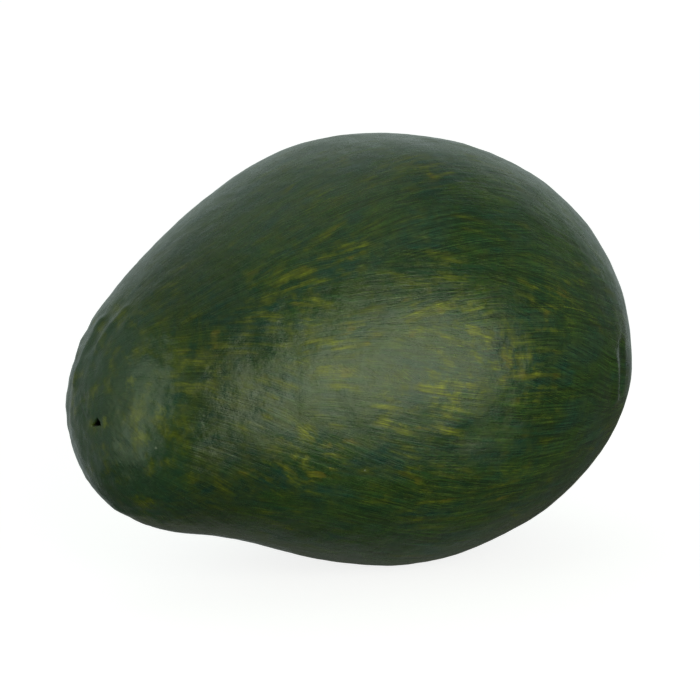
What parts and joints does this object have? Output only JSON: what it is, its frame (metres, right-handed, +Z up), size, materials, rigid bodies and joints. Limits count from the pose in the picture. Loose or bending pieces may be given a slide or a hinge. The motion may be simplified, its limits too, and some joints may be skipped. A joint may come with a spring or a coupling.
{
  "type": "avocado",
  "caption": "Whole green-skinned avocado lying on its side, pear-shaped, with a small stem pit and a flat spot to rest on.",
  "frame": {"origin": "on the surface the fruit lies on, under the middle of its bounding box", "axes": "+Z up; +X from the stem end to the blossom end; -Y the side nearest the picture's camera"},
  "size_m": [0.112, 0.081, 0.0792],
  "materials": {
    "skin": "satin, waxy dark green skin streaked with yellow-green"
  },
  "bodies": {
    "root": {"avocado": "skin"}
  },
  "joints": []
}
